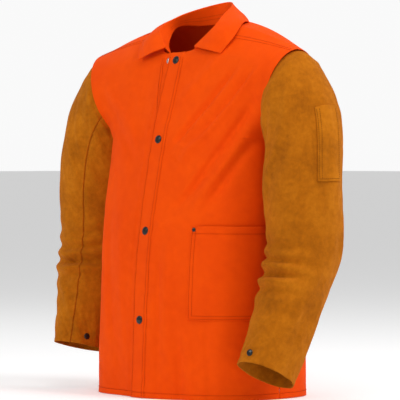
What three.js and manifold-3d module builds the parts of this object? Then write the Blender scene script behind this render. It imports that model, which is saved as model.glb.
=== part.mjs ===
// A work jacket as it stands on a body: cotton fronts and back, split-leather sleeves, a fold-over
// collar, patch pockets and press studs. Millimetres, +Z up. The front faces -Y, so the wearer's left
// side is +X. The origin is on the ground, under the middle of the hem.
import Module from "manifold-3d";
import * as THREE from "three";
import { mergeVertices } from "three/addons/utils/BufferGeometryUtils.js";

// ---- driving dimensions -------------------------------------------------------------------------
const HALF_WIDTH = 215; // body, centre to side seam
const UNDERARM_Z = 525; // height of the armhole's lowest point above the hem
const FRONT_NECK_Z = UNDERARM_Z + 175; // height of the neckline at the front edges
const SHOULDER_NECK = [80, -12, UNDERARM_Z + 232]; // where the shoulder seam meets the neckline
const SHOULDER_TIP = [HALF_WIDTH + 66, -8, UNDERARM_Z + 178]; // where the shoulder seam meets the armhole
const BACK_NECK = [0, 76, UNDERARM_Z + 247]; // middle of the back neckline
const BODY_SQUARENESS = 2.6; // exponent of the body's rounded-square plan

const CLOTH = 3; // body cloth with its hems
const FACING_CLOTH = 2; // strips sewn inside the front edges
const SUEDE = 3; // sleeve leather with its seam turnings
const POCKET_CLOTH = 2;
const COLLAR_CLOTH = 2.4;
const PLY_GAP = 0.4; // between one sewn layer and the next
const SIDE_SEAM_GAP = 0.6 * CLOTH; // between two panels at a side seam
const SHOULDER_SEAM_GAP = (7 / 3) * CLOTH; // between two panels at a shoulder seam
const SLEEVE_SEAM_GAP = 1.4; // between the two panels of a sleeve
const ARMHOLE_GAP = 0.8 * CLOTH; // between the body and the end of a sleeve

const LAP = 25; // how far the left front passes the middle
const UNDERLAP = 17; // how far the right front passes the middle, below the second stud
const NECK_UNDERLAP = -11; // the same at the open neck
const LAP_STEP = 12; // how far the right front lies behind the left one
const FACING_WIDTH = 42;
const FACING_END = 10; // from a facing's end to the hem, and to the neckline
const FOLD_TOP_X = 32; // the line on which the left front folds open, at the neck
const FOLD_HEM_X = 105; // and at the hem
const FOLD_GAP = 1;

const ARMHOLE_DEPTH = 72; // armhole, middle to its front or back
const SLEEVE_FRONT_SEAM = -28; // degrees round the sleeve from its front
const SLEEVE_BACK_SEAM = 122;
// Each cuff: how far forward of the shoulder it hangs, its middle's height, how much higher its front is,
// and the angle of its stud round the sleeve.
const CUFFS = {
  left: { forward: 108, height: 57, tilt: 29, studAngle: 4 },
  right: { forward: 78, height: 86, tilt: 14, studAngle: -62 },
};

const POCKET_INNER_X = 112; // inner edge of the front pocket
const POCKET_WIDTH = 165;
const POCKET_LOW_Z = 160;
const POCKET_TOP_Z = 348;
const POCKET_GAP = 1; // between the pocket and the front
const PEN_POCKET_ANGLES = [64, 104];
const PEN_POCKET_RUN = [0.172, 0.34]; // share of the sleeve's length
const PEN_POCKET_GAP = 0.7;

const STUD_HEIGHTS = [FRONT_NECK_Z - 14, UNDERARM_Z - 2, 337, 157];
const STUD_INSET = 21; // press stud to the left front's edge
const OPEN_STUD_X = -32; // the neck stud, which is undone
const CAP_R = 8.5;
const SOCKET_R = 6.5;
const SOCKET_HOLE_R = 3.4;
const POST_R = 1.8;
const FLANGE_R = 6; // foot of a post, and the plate behind it
const FLANGE_HEIGHT = 0.9;
const STUD_GAP = 1.5; // from a post's foot to its socket, and from its tip to the cloth
const SURFACE_REST = 0.6; // clearance under a piece that rests on curved cloth
const CUFF_STUD_SCALE = 0.8;
const RIVET_R = 4.2;
const RIVET_DROP = 7; // below the pocket's mouth
const CUFF_STUD_RUN = 0.955;

const STAND_HEIGHT = 36; // collar stand at the back
const FALL_DEPTH = 66; // collar leaf at the back
const FOLD_CLEARANCE = 2.6; // between the collar's stand and its leaf
const LEAF_REST = 9; // how far the leaf's rim hangs off the body

// ---- colours ------------------------------------------------------------------------------------
const ORANGE = { color: 0xf24a05, roughness: 0.85, metalness: 0 };
const TAN = { color: 0xb8650f, roughness: 0.95, metalness: 0 };
const BLACK_METAL = { color: 0x17191a, roughness: 0.35, metalness: 0.8 };
const STEEL = { color: 0xb9bdc0, roughness: 0.3, metalness: 1 };

const jacket = new THREE.Group();

// ---- helpers ------------------------------------------------------------------------------------
const clamp01 = (t) => Math.min(1, Math.max(0, t));
const mix = (a, b, t) => a + (b - a) * t;
const smooth = (t) => clamp01(t) ** 2 * (3 - 2 * clamp01(t));
const radians = THREE.MathUtils.degToRad;
const vector = (p) => new THREE.Vector3(...p);
const curveThrough = (points) => new THREE.CatmullRomCurve3(points.map(vector), false, "catmullrom");

// A height-to-depth profile as a function of height.
function profile(points) {
  const curve = new THREE.CatmullRomCurve3(
    points.map(([z, depth]) => new THREE.Vector3(z, depth, 0)),
  );
  return (z) => {
    let low = 0;
    let high = 1;
    for (let i = 0; i < 30; i += 1) {
      const middle = (low + high) / 2;
      if (curve.getPoint(middle).x < z) low = middle;
      else high = middle;
    }
    return curve.getPoint(low).y;
  };
}

function add(name, geometry, look) {
  const mesh = new THREE.Mesh(geometry, new THREE.MeshStandardMaterial(look));
  mesh.name = name;
  jacket.add(mesh);
  return mesh;
}

// Outward normal of a surface point(u, v), where u runs to the right and v upwards seen from outside.
function normalAt(surface, u, v) {
  const step = 1e-3;
  const across = surface(u + step, v).sub(surface(u - step, v));
  const up = surface(u, v + step).sub(surface(u, v - step));
  return across.cross(up).normalize();
}

// A closed slab of cloth: the surface over [u0, u1] x [v0, v1], from `inner` to `outer` along its
// normal. u0 and u1 may depend on v. `levels` are the rows' own values of v, if they aren't evenly spaced.
function slab(surface, [u0, u1], [v0, v1], [inner, outer], [columns, rows], levels = null) {
  const edge = (limit, v) => (typeof limit === "function" ? limit(v) : limit);
  const positions = [];
  for (const offset of [outer, inner]) {
    for (let j = 0; j <= rows; j += 1) {
      const v = levels ? levels[j] : mix(v0, v1, j / rows);
      for (let i = 0; i <= columns; i += 1) {
        const u = mix(edge(u0, v), edge(u1, v), i / columns);
        const point = surface(u, v).addScaledVector(normalAt(surface, u, v), offset);
        if (v === 0) point.z = surface(u, v).z; // a hem's edge is level across its thickness
        positions.push(point.x, point.y, point.z);
      }
    }
  }
  const layer = (columns + 1) * (rows + 1);
  const at = (side, i, j) => side * layer + j * (columns + 1) + i;
  const index = [];
  const quad = (a, b, c, d) => index.push(a, b, c, a, c, d);
  for (let j = 0; j < rows; j += 1) {
    for (let i = 0; i < columns; i += 1) {
      quad(at(0, i, j), at(0, i + 1, j), at(0, i + 1, j + 1), at(0, i, j + 1));
      quad(at(1, i, j), at(1, i, j + 1), at(1, i + 1, j + 1), at(1, i + 1, j));
    }
    quad(at(0, 0, j), at(0, 0, j + 1), at(1, 0, j + 1), at(1, 0, j));
    quad(at(0, columns, j), at(1, columns, j), at(1, columns, j + 1), at(0, columns, j + 1));
  }
  for (let i = 0; i < columns; i += 1) {
    quad(at(0, i, 0), at(1, i, 0), at(1, i + 1, 0), at(0, i + 1, 0));
    quad(at(0, i, rows), at(0, i + 1, rows), at(1, i + 1, rows), at(1, i, rows));
  }
  const geometry = new THREE.BufferGeometry();
  geometry.setAttribute("position", new THREE.Float32BufferAttribute(positions, 3));
  geometry.setIndex(index);
  geometry.computeVertexNormals();
  return geometry;
}

// The surface seen in a mirror across the middle plane, with u turned round so that it still runs right.
const mirrored = (surface) => (u, v) => surface(-u, v).multiply(new THREE.Vector3(-1, 1, 1));

// ---- body ---------------------------------------------------------------------------------------
const frontDepth = profile([
  [0, 177],
  [0.425 * UNDERARM_Z, 170],
  [0.663 * UNDERARM_Z, 156],
  [UNDERARM_Z - 2, 123],
  [UNDERARM_Z + 76, 101],
  [FRONT_NECK_Z, 66],
]);
const backDepth = profile([
  [0, 172],
  [0.381 * UNDERARM_Z, 165],
  [0.663 * UNDERARM_Z, 155],
  [UNDERARM_Z - 2, 138],
  [UNDERARM_Z + 115, 114],
  [BACK_NECK[2], BACK_NECK[1]],
]);
const ARMHOLE_RISE = (SHOULDER_TIP[2] - UNDERARM_Z) / 2;
const UNDERARM_V = 0.66; // rows are level up to the underarm
const BODY_ROW_Z = UNDERARM_Z / UNDERARM_V;
const FRONT_NECK_V = FRONT_NECK_Z / BODY_ROW_Z;
const BACK_NECK_V = 0.93;

// Half of a rounded square's outline as shares across and back, u from the middle to the side.
function roundedCorner(u) {
  const angle = (Math.PI / 2) * (1 - u);
  const c = Math.cos(angle);
  const s = Math.sin(angle);
  const sum = Math.abs(c) ** BODY_SQUARENESS + Math.abs(s) ** BODY_SQUARENESS;
  const reach = sum ** (-1 / BODY_SQUARENESS);
  return [c * reach, 1 - s * reach];
}

// Side seam below the underarm, then the armhole up to the shoulder; sign is -1 in front, 1 behind.
function sideEdge(v, sign) {
  if (v <= UNDERARM_V) return new THREE.Vector3(HALF_WIDTH, 0, v * BODY_ROW_Z);
  const turn = radians(mix(-90, 90, (v - UNDERARM_V) / (1 - UNDERARM_V)));
  const z = UNDERARM_Z + ARMHOLE_RISE * (1 + Math.sin(turn));
  const x = mix(HALF_WIDTH, SHOULDER_TIP[0], (z - UNDERARM_Z) / (2 * ARMHOLE_RISE));
  const y = sign * ARMHOLE_DEPTH * Math.cos(turn) + SHOULDER_TIP[1] * smooth((turn + 0.5) / 2);
  return new THREE.Vector3(x, y, z);
}

const frontNeckline = curveThrough([
  [-LAP, -66, FRONT_NECK_Z],
  [30, -62, FRONT_NECK_Z + 4],
  [62, -42, FRONT_NECK_Z + 28],
  SHOULDER_NECK,
]);
const backNeckline = curveThrough([
  BACK_NECK,
  [38, 68, BACK_NECK[2] - 2],
  [66, 38, BACK_NECK[2] - 7],
  SHOULDER_NECK,
]);

function frontEdge(v) {
  if (v > FRONT_NECK_V) return frontNeckline.getPoint((v - FRONT_NECK_V) / (1 - FRONT_NECK_V));
  const z = v * BODY_ROW_Z;
  return new THREE.Vector3(-LAP, -frontDepth(z), z);
}

function backEdge(v) {
  if (v > BACK_NECK_V) return backNeckline.getPoint((v - BACK_NECK_V) / (1 - BACK_NECK_V));
  const z = (v / BACK_NECK_V) * BACK_NECK[2];
  const level = mix(v * BODY_ROW_Z, z, smooth((v - 0.5) / (BACK_NECK_V - 0.5)));
  return new THREE.Vector3(0, backDepth(level), level);
}

// One row of the body between its middle edge and its side edge. The rows flatten towards the shoulder.
function bodyRow(middle, side, u, v) {
  const round = 1 - smooth((v - UNDERARM_V) / (1 - UNDERARM_V));
  const [across, back] = roundedCorner(u);
  return new THREE.Vector3(
    mix(middle.x, side.x, mix(u, across, round)),
    mix(middle.y, side.y, mix(u, back, round)),
    mix(middle.z, side.z, u ** 1.5),
  );
}

const frontSurface = (u, v) => bodyRow(frontEdge(v), sideEdge(v, -1), clamp01(u), v);

// The back, from the wearer's left side seam (u = -1) round to the right one (u = 1), seen from behind.
function backSurface(u, v) {
  const point = bodyRow(backEdge(v), sideEdge(v, 1), Math.min(1, Math.abs(u)), v);
  return u > 0 ? point.multiply(new THREE.Vector3(-1, 1, 1)) : point;
}

// The right front: mirrored, with its edge where it passes under the left one, lying a step behind it.
// The shift sideways fades out by the first share of u, the step behind between the next two.
const SHIFT_FADE_U = 0.6;
const STEP_FADE_U = [0.25, 0.6];
const SHIFT_FADE_V = 0.1; // above the front neckline
function rightSurface(u, v) {
  const point = frontSurface(u, v);
  const opened = smooth((v * BODY_ROW_Z - STUD_HEIGHTS[1]) / (STUD_HEIGHTS[0] - STUD_HEIGHTS[1]));
  const shift = mix(UNDERLAP, NECK_UNDERLAP, opened) - LAP;
  const fadeAcross = 1 - smooth(clamp01(u) / SHIFT_FADE_U);
  const fadeUp = 1 - smooth((v - FRONT_NECK_V) / SHIFT_FADE_V);
  point.x -= shift * fadeAcross * fadeUp;
  point.y += LAP_STEP * (1 - smooth((clamp01(u) - STEP_FADE_U[0]) / (STEP_FADE_U[1] - STEP_FADE_U[0])));
  return point;
}
const rightFront = mirrored(rightSurface);

// The share u along a front row at which it reaches x.
function reach(surface, x, v) {
  let low = 0;
  let high = 1;
  for (let i = 0; i < 30; i += 1) {
    const middle = (low + high) / 2;
    if (surface(middle, v).x < x) low = middle;
    else high = middle;
  }
  return low;
}
const foldX = (z) => mix(FOLD_HEM_X, FOLD_TOP_X, z / FRONT_NECK_Z);
const foldU = (v, gap) =>
  reach(frontSurface, foldX(Math.min(FRONT_NECK_Z, v * BODY_ROW_Z)) + gap, v);

const SIDE_RUN = 290; // millimetres for each unit of u at the side seam
const SIDE_END = 1 - SIDE_SEAM_GAP / 2 / SIDE_RUN;
const SHOULDER_RUN = 850; // millimetres of front or back for each unit of v at the shoulder
const SHOULDER_END = 1 - SHOULDER_SEAM_GAP / 2 / SHOULDER_RUN;
const BODY_LAYER = [-CLOTH, 0];
const FACING_LAYER = [-CLOTH - PLY_GAP - FACING_CLOTH, -CLOTH - PLY_GAP];
const FACING_INSET_U = 0.004; // from a front's edge to its facing
const FACING_V = [FACING_END / BODY_ROW_Z, (FRONT_NECK_Z - FACING_END) / BODY_ROW_Z];

// The back is two mirrored halves joined along the middle up to the neckline, where they part.
const onMiddle = (value) => (Math.abs(value) < 1e-6 ? 0 : value); // puts the halves' shared faces at x = 0
const wasm = await Module();
wasm.setup();
function solidOf(geometry) {
  const plain = geometry.clone();
  plain.deleteAttribute("normal");
  const merged = mergeVertices(plain);
  return new wasm.Manifold(
    new wasm.Mesh({
      numProp: 3,
      vertProperties: Float32Array.from(merged.attributes.position.array, onMiddle),
      triVerts: new Uint32Array(merged.index.array),
    }),
  );
}
function geometryOf(solid) {
  const mesh = solid.getMesh();
  const geometry = new THREE.BufferGeometry();
  geometry.setAttribute("position", new THREE.Float32BufferAttribute(mesh.vertProperties, 3));
  geometry.setIndex([...mesh.triVerts]);
  geometry.computeVertexNormals();
  return geometry;
}
const BACK_ROWS = 15; // below the neckline
const NECK_ROWS = 4; // beside it
const backLevels = Array.from({ length: BACK_ROWS + NECK_ROWS + 1 }, (_, j) =>
  j <= BACK_ROWS
    ? mix(0, BACK_NECK_V, j / BACK_ROWS)
    : mix(BACK_NECK_V, SHOULDER_END, (j - BACK_ROWS) / NECK_ROWS),
);
const leftBack = (u, v) => backSurface(-u, v);
function halfBack(surface, range) {
  return solidOf(slab(surface, range, [0, SHOULDER_END], BODY_LAYER, [12, backLevels.length - 1], backLevels));
}
const backHalves = [
  halfBack(backSurface, [-SIDE_END, 0]),
  halfBack(mirrored(backSurface), [0, SIDE_END]),
];
add("back_panel", geometryOf(backHalves[0].add(backHalves[1])), ORANGE);
add(
  "left_front_panel",
  slab(frontSurface, [(v) => foldU(v, FOLD_GAP / 2), SIDE_END], [0, SHOULDER_END], BODY_LAYER, [10, 18]),
  ORANGE,
);
add(
  "left_front_edge",
  slab(frontSurface, [0, (v) => foldU(v, -FOLD_GAP / 2)], [0, FRONT_NECK_V], BODY_LAYER, [6, 14]),
  ORANGE,
);
add(
  "left_front_facing",
  slab(
    frontSurface,
    [FACING_INSET_U, (v) => reach(frontSurface, FACING_WIDTH - LAP, v)],
    FACING_V,
    FACING_LAYER,
    [2, 14],
  ),
  ORANGE,
);
add(
  "right_front_panel",
  slab(rightFront, [-SIDE_END, 0], [0, SHOULDER_END], BODY_LAYER, [14, 18]),
  ORANGE,
);
const rightFacingReach = (v) => -reach(rightSurface, rightSurface(0, v).x + FACING_WIDTH, v);
add(
  "right_front_facing",
  slab(rightFront, [rightFacingReach, -FACING_INSET_U], FACING_V, FACING_LAYER, [2, 14]),
  ORANGE,
);

// ---- collar -------------------------------------------------------------------------------------
// Each line runs from the wearer's right front end round the back to the left front end, t from -1 to 1.
// The points given are those from the middle of the back to the left front end.
function roundTheNeck(points) {
  const rightSide = points.slice(1).reverse().map(([x, y, z]) => [-x, y, z]);
  const line = curveThrough([...rightSide, ...points]);
  return (t) => line.getPoint(clamp01((t + 1) / 2));
}
const SIDE_NECK_Z = SHOULDER_NECK[2];
const FOLD_Z = BACK_NECK[2] + STAND_HEIGHT;
const RIM_Z = FOLD_Z - FALL_DEPTH;
const collarBase = roundTheNeck([
  [0, BACK_NECK[1] - 3, BACK_NECK[2] + 2],
  [50, 56, BACK_NECK[2] - 2],
  [75, 4, SIDE_NECK_Z + 10],
  [62, -36, FRONT_NECK_Z + 34],
  [36, -57, FRONT_NECK_Z + 10],
]);
const collarFold = roundTheNeck([
  [0, BACK_NECK[1] + 2, FOLD_Z],
  [39, 46, FOLD_Z - 11],
  [65, -4, SIDE_NECK_Z + 0.55 * STAND_HEIGHT],
  [76, -44, FRONT_NECK_Z + 50],
  [42, -64, FRONT_NECK_Z + 12],
]);

// The place on a panel at a given x and height, moved off it by `away`.
function offPanel(surface, x, z, away) {
  let low = UNDERARM_V;
  let high = 1;
  for (let i = 0; i < 30; i += 1) {
    const middle = (low + high) / 2;
    if (surface(reach(surface, x, middle), middle).z < z) low = middle;
    else high = middle;
  }
  const u = reach(surface, x, low);
  return surface(u, low).addScaledVector(normalAt(surface, u, low), away).toArray();
}
function offBack(x, z, away) {
  const [, y, height] = offPanel(leftBack, x, z, 0);
  return [x, y + away, height];
}
const collarRim = roundTheNeck([
  [0, backDepth(RIM_Z) + 2 * LEAF_REST, RIM_Z],
  offBack(66, SIDE_NECK_Z + 2, 2.5 * LEAF_REST),
  [114, 8, SIDE_NECK_Z + 7],
  offPanel(frontSurface, 132, FRONT_NECK_Z + 28, LEAF_REST),
  offPanel(frontSurface, 118, FRONT_NECK_Z - 4, LEAF_REST),
]);
const LEAF_ROLL = 9; // how far the leaf bows out between its fold and its rim
function collarBend(t) {
  return collarFold(t).add(new THREE.Vector3(0, -FOLD_CLEARANCE * t * t, FOLD_CLEARANCE));
}

// From the fold (v = 0) down to the rim (v = 1); the leaf rolls outwards before it falls.
function collarLeaf(u, v) {
  const point = collarBend(u).lerp(collarRim(u), v);
  const away = new THREE.Vector3(point.x, point.y, 0).normalize();
  const bow = Math.sin(Math.PI * Math.min(1, v * 1.15)) * (1 - 0.4 * Math.abs(u));
  return point.addScaledVector(away, LEAF_ROLL * bow);
}
const leafOutside = (u, v) => collarLeaf(-u, 1 - v);
const standOutside = (u, v) => collarBase(-u).lerp(collarFold(-u), v);

add(
  "collar_stand",
  slab(standOutside, [-1, 1], [0, 1], [-COLLAR_CLOTH, 0], [26, 3]),
  ORANGE,
);
add(
  "collar_leaf",
  slab(leafOutside, [-1, 1], [0, 1], [0, COLLAR_CLOTH], [28, 5]),
  ORANGE,
);

// ---- front pocket -------------------------------------------------------------------------------
const POCKET_V = [POCKET_LOW_Z / BODY_ROW_Z, POCKET_TOP_Z / BODY_ROW_Z];
const POCKET_U0 = reach(frontSurface, POCKET_INNER_X, POCKET_V[1]);

// The share u at which the row has run `width` from the pocket's inner edge.
function pocketOuter() {
  let u = POCKET_U0;
  let run = 0;
  const step = 0.005;
  while (run < POCKET_WIDTH && u < 1 - step) {
    run += frontSurface(u, POCKET_V[1]).distanceTo(frontSurface(u + step, POCKET_V[1]));
    u += step;
  }
  return u;
}
const POCKET_U1 = pocketOuter();
const POCKET_LAYER = [POCKET_GAP, POCKET_GAP + POCKET_CLOTH];
add(
  "front_pocket",
  slab(frontSurface, [POCKET_U0, POCKET_U1], POCKET_V, POCKET_LAYER, [10, 8]),
  ORANGE,
);

// ---- sleeves ------------------------------------------------------------------------------------
// Rings from armhole to cuff: the middle, then the half-axes towards the outside and towards the front.
const ARMHOLE_MIDDLE = [(HALF_WIDTH + SHOULDER_TIP[0]) / 2, -2, UNDERARM_Z + ARMHOLE_RISE];
const ARMHOLE_OUT = [(SHOULDER_TIP[0] - HALF_WIDTH) / 2, 0, ARMHOLE_RISE];
const SLEEVE_RUN = 600; // millimetres for a whole run from armhole to cuff
const SLEEVE_GIRTH = 480;

// The sleeve's surface for an arm whose cuff comes `forward` of the shoulder; angle in degrees from the
// front over the outside, run from 0 at the armhole to 1 at the cuff.
function sleeveShape({ forward, height, tilt }) {
  const start = vector(ARMHOLE_OUT).cross(new THREE.Vector3(0, 1, 0)).normalize().negate();
  const middle = vector(ARMHOLE_MIDDLE).addScaledVector(start, ARMHOLE_GAP);
  const level = (share) => mix(UNDERARM_Z, height, share);
  const rest = -16; // the upper arm hangs this far forward
  const centres = curveThrough([
    middle.toArray(),
    [HALF_WIDTH + 75, -6, UNDERARM_Z + 17],
    [HALF_WIDTH + 86, -17, level(0.188)],
    [HALF_WIDTH + 88, rest, level(0.438)],
    [HALF_WIDTH + 85, mix(rest, -forward, 0.26), level(0.63)],
    [HALF_WIDTH + 77, mix(rest, -forward, 0.68), level(0.844)],
    [HALF_WIDTH + 71, -forward, height],
  ]);
  const outs = curveThrough([
    ARMHOLE_OUT,
    [70, 0, 52],
    [80, 0, 8],
    [76, 0, 0],
    [69, 0, 0],
    [59, 0, 0],
    [51, 0, 0],
  ]);
  const fronts = curveThrough([
    [0, -ARMHOLE_DEPTH, 0],
    [0, -80, 0],
    [0, -81, 0],
    [0, -80, 0],
    [0, -72, 0.5 * tilt],
    [0, -63, 0.85 * tilt],
    [0, -57, tilt],
  ]);
  return (angle, run) => {
    const t = clamp01(run);
    const beyond = run - t;
    const turn = radians(angle);
    const point = centres.getPoint(t);
    point.addScaledVector(outs.getPoint(t), Math.sin(turn));
    point.addScaledVector(fronts.getPoint(t), Math.cos(turn));
    point.z -= beyond * SLEEVE_RUN;
    return point;
  };
}

const sleeves = { left: sleeveShape(CUFFS.left), right: sleeveShape(CUFFS.right) };
// Seen from outside, the left sleeve's angle runs to the right; v runs up from cuff to armhole.
const sleeveOutside = (shape) => (u, v) => shape(u * 360, 1 - v);
const SLEEVE_GAP_TURN = SLEEVE_SEAM_GAP / 2 / SLEEVE_GIRTH;

function addSleeve(side) {
  const surface = side === "left" ? sleeveOutside(sleeves.left) : mirrored(sleeveOutside(sleeves.right));
  const flip = side === "left" ? 1 : -1;
  const spans = {
    [`${side}_topsleeve`]: [SLEEVE_FRONT_SEAM, SLEEVE_BACK_SEAM],
    [`${side}_undersleeve`]: [SLEEVE_BACK_SEAM, SLEEVE_FRONT_SEAM + 360],
  };
  for (const [name, [from, to]] of Object.entries(spans)) {
    const ends = [from / 360 + SLEEVE_GAP_TURN, to / 360 - SLEEVE_GAP_TURN];
    const range = ends.map((end) => end * flip).sort((a, b) => a - b);
    add(name, slab(surface, range, [0, 1], [-SUEDE, 0], [12, 18]), TAN);
  }
  return surface;
}
const leftSleeve = addSleeve("left");
const rightSleeve = addSleeve("right");
add(
  "pen_pocket",
  slab(
    leftSleeve,
    PEN_POCKET_ANGLES.map((angle) => angle / 360),
    PEN_POCKET_RUN.map((run) => 1 - run).reverse(),
    [PEN_POCKET_GAP, PEN_POCKET_GAP + POCKET_CLOTH],
    [5, 6],
  ),
  TAN,
);

// ---- press studs and rivets ---------------------------------------------------------------------
const lathe = (outline, sides) =>
  new THREE.LatheGeometry(outline.map(([r, h]) => new THREE.Vector2(r, h)), sides).rotateX(Math.PI / 2);
const ROUND_SIDES = 16;
const STUD_ROOM = LAP_STEP - CLOTH - PLY_GAP - FACING_CLOTH; // from one front's facing to the other
const SOCKET_TALL = STUD_ROOM - FLANGE_HEIGHT - 2 * SURFACE_REST - STUD_GAP;
const POST_TALL = STUD_ROOM - SURFACE_REST - STUD_GAP;
const POST_FOOT = 1.3; // where the post rises from its flange
const CAP_DOME = [
  [0, 0],
  [CAP_R - 0.6, 0],
  [CAP_R, 0.7],
  [CAP_R - 1.2, 2],
  [CAP_R - 4.2, 2.9],
  [0, 3.2],
];
const SOCKET_RING = [
  [SOCKET_HOLE_R, 0],
  [SOCKET_R, 0],
  [SOCKET_R, 0.73 * SOCKET_TALL],
  [SOCKET_R - 1, SOCKET_TALL],
  [SOCKET_HOLE_R, SOCKET_TALL],
  [SOCKET_HOLE_R, 0],
];
const STUD_POST = [
  [0, 0],
  [FLANGE_R, 0],
  [FLANGE_R, FLANGE_HEIGHT],
  [POST_R + 0.8, POST_FOOT],
  [POST_R - 0.2, mix(POST_FOOT, POST_TALL, 0.34)],
  [POST_R, mix(POST_FOOT, POST_TALL, 0.66)],
  [POST_R - 0.8, POST_TALL - 0.1],
  [0, POST_TALL],
];
const BACK_PLATE = [
  [0, 0],
  [FLANGE_R - 0.6, 0],
  [FLANGE_R, 0.5],
  [FLANGE_R - 1, 1.2],
  [0, 1.3],
];
const RIVET_HEAD = [
  [0, 0],
  [RIVET_R, 0],
  [RIVET_R - 0.6, 1.1],
  [RIVET_R - 2.2, 1.7],
  [0, 1.8],
];

// Puts a turned piece on a surface with its axis along the normal, `offset` from it; facing -1 turns it in.
function fasten(name, outline, look, surface, u, v, offset, facing) {
  const normal = normalAt(surface, u, v);
  const piece = add(name, lathe(outline, ROUND_SIDES), look);
  piece.position.copy(surface(u, v)).addScaledVector(normal, offset);
  piece.quaternion.setFromUnitVectors(new THREE.Vector3(0, 0, 1), normal.multiplyScalar(facing));
}

const IN_FACING = -CLOTH - PLY_GAP - FACING_CLOTH - SURFACE_REST;
STUD_HEIGHTS.forEach((z, i) => {
  const v = z / BODY_ROW_Z;
  const name = `stud_${i + 1}`;
  const u = reach(frontSurface, STUD_INSET - LAP, v);
  fasten(`${name}_cap`, CAP_DOME, BLACK_METAL, frontSurface, u, v, SURFACE_REST, 1);
  fasten(`${name}_socket`, SOCKET_RING, STEEL, frontSurface, u, v, IN_FACING, -1);
  if (i === 0) {
    const under = -reach(rightSurface, -OPEN_STUD_X, v);
    fasten(`${name}_post`, STUD_POST, STEEL, rightFront, under, v, SURFACE_REST, 1);
    fasten(`${name}_back`, BACK_PLATE, BLACK_METAL, rightFront, under, v, IN_FACING, -1);
  } else {
    // A closed stud's post stands in its socket, so it shares the cap's axis.
    const axis = normalAt(frontSurface, u, v);
    const behind = frontSurface(u, v).addScaledVector(axis, -LAP_STEP);
    const underV = behind.z / BODY_ROW_Z;
    const under = -reach(rightSurface, -behind.x, underV);
    const depth = rightFront(under, underV).sub(frontSurface(u, v)).dot(axis);
    fasten(`${name}_post`, STUD_POST, STEEL, frontSurface, u, v, depth + SURFACE_REST, 1);
    fasten(`${name}_back`, BACK_PLATE, BLACK_METAL, rightFront, under, underV, IN_FACING, -1);
  }
});

const POCKET_FACE = POCKET_GAP + POCKET_CLOTH + SURFACE_REST;
const RIVET_INSET_U = 0.018;
const RIVET_V = (POCKET_TOP_Z - RIVET_DROP) / BODY_ROW_Z;
for (const [end, u] of [["inner", POCKET_U0 + RIVET_INSET_U], ["outer", POCKET_U1 - RIVET_INSET_U]]) {
  fasten(`pocket_rivet_${end}`, RIVET_HEAD, BLACK_METAL, frontSurface, u, RIVET_V, POCKET_FACE, 1);
}

function addCuffStud(side, surface) {
  const u = ((side === "left" ? 1 : -1) * CUFFS[side].studAngle) / 360;
  const v = 1 - CUFF_STUD_RUN;
  const small = (outline) => outline.map(([r, h]) => [r * CUFF_STUD_SCALE, h * CUFF_STUD_SCALE]);
  const inside = -SUEDE - SURFACE_REST - PLY_GAP;
  fasten(`${side}_cuff_cap`, small(CAP_DOME), BLACK_METAL, surface, u, v, SURFACE_REST, 1);
  fasten(`${side}_cuff_socket`, small(SOCKET_RING), STEEL, surface, u, v, inside, -1);
}
addCuffStud("left", leftSleeve);
addCuffStud("right", rightSleeve);

export default jacket;
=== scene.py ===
"""A hybrid welding jacket: orange cotton body, tan split-leather sleeves. Metres, +Z up, front towards -Y."""

import math
from functools import partial

import bmesh
import bpy
import numpy as np
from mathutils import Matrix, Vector


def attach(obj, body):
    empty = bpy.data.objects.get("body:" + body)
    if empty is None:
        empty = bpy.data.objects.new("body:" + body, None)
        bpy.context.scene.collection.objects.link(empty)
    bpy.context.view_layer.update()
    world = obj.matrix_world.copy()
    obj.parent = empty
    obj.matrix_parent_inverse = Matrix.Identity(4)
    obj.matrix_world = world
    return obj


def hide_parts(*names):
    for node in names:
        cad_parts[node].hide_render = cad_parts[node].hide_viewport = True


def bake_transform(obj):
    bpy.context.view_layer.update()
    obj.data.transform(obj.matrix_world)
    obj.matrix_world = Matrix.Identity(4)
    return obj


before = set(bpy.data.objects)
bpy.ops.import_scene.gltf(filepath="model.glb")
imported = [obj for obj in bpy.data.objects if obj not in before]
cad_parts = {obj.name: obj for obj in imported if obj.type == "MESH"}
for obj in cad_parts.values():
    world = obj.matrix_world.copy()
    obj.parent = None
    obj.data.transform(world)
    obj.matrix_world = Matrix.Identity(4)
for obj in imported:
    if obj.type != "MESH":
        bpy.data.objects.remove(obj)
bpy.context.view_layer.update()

MM = 0.001

# ---- camera, lights and floor -------------------------------------------------------------------
VIEW_TURN = 45.0  # degrees round to the wearer's left
VIEW_RISE = 0.9
VIEW_DISTANCE = 6.0
VIEW_WIDTH = 0.826  # width of the picture at the jacket
VIEW_CENTRE = (-0.003, -0.003, 0.398)


def look_from(obj, centre, turn, rise, distance):
    a, e = math.radians(turn), math.radians(rise)
    back = np.array([math.sin(a) * math.cos(e), -math.cos(a) * math.cos(e), math.sin(e)])
    obj.location = np.array(centre) + back * distance
    direction = obj.location - Vector(centre)
    obj.rotation_euler = direction.to_track_quat("Z", "Y").to_euler()


def new_object(name, data):
    obj = bpy.data.objects.new(name, data)
    bpy.context.scene.collection.objects.link(obj)
    return obj


camera = new_object("camera", bpy.data.cameras.new("camera"))
camera.data.lens = camera.data.sensor_width * VIEW_DISTANCE / VIEW_WIDTH
camera.data.clip_end = 100
look_from(camera, VIEW_CENTRE, VIEW_TURN, VIEW_RISE, VIEW_DISTANCE)
bpy.context.scene.camera = camera
bpy.context.scene.view_settings.view_transform = "Standard"


def area_light(name, turn, rise, distance, size, watts, aim=(0, 0, 0.45)):
    lamp = bpy.data.lights.new(name, "AREA")
    lamp.shape = "SQUARE"
    lamp.size = size
    lamp.energy = watts
    look_from(new_object(name, lamp), aim, turn, rise, distance)


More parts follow.
